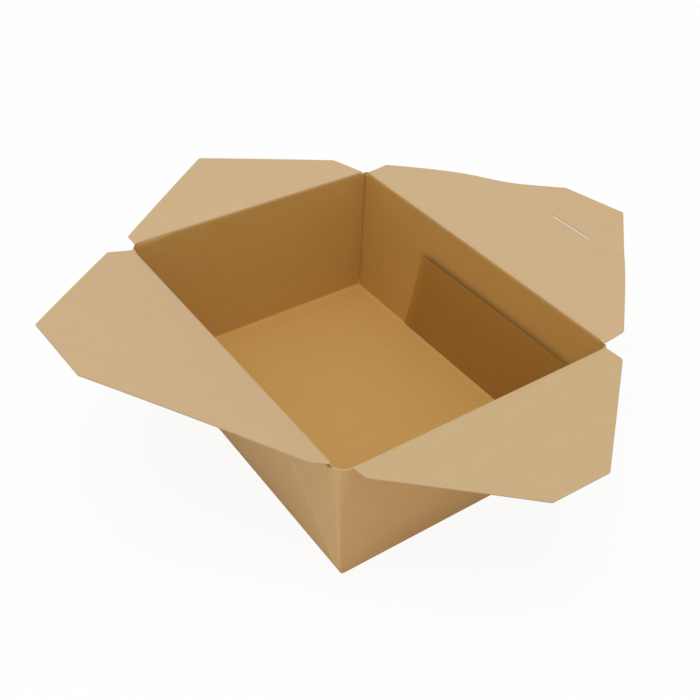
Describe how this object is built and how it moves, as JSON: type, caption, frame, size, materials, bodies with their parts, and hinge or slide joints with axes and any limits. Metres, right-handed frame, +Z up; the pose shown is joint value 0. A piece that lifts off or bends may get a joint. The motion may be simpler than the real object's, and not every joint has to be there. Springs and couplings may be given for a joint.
{
  "type": "takeaway box",
  "caption": "Open tapered takeaway box folded from kraft board, with folded corner webs and hinged closing flaps on all sides of its top.",
  "frame": {"origin": "middle of the underside, on the surface that the box stands on", "axes": "+Z up out of the open top, +X along the long walls to the right flap, +Y to the back wall that carries the slit flap"},
  "size_m": [0.3386, 0.335, 0.1106],
  "materials": {
    "tray_board": "matt brown kraft board",
    "flap_board": "matt brown kraft board"
  },
  "bodies": {
    "tray": {"tray": "tray_board"},
    "front_flap": {"front_flap": "flap_board"},
    "right_flap": {"right_flap": "flap_board"},
    "back_flap": {"back_flap": "flap_board"},
    "left_flap": {"left_flap": "flap_board"}
  },
  "joints": [
    {"name": "front_crease", "type": "hinge", "parent": "tray", "child": "front_flap", "pos_m": [0, -0.08, 0.0785], "axis": [-1, 0, 0], "range_deg": [-67, 156]},
    {"name": "right_crease", "type": "hinge", "parent": "tray", "child": "right_flap", "pos_m": [0.10425, 0, 0.0785], "axis": [0, -1, 0], "range_deg": [-45.5, 184.5]},
    {"name": "back_crease", "type": "hinge", "parent": "tray", "child": "back_flap", "pos_m": [0, 0.08, 0.0785], "axis": [1, 0, 0], "range_deg": [-43.5, 175.5]},
    {"name": "left_crease", "type": "hinge", "parent": "tray", "child": "left_flap", "pos_m": [-0.10425, 0, 0.0785], "axis": [0, 1, 0], "range_deg": [-45, 185]}
  ]
}
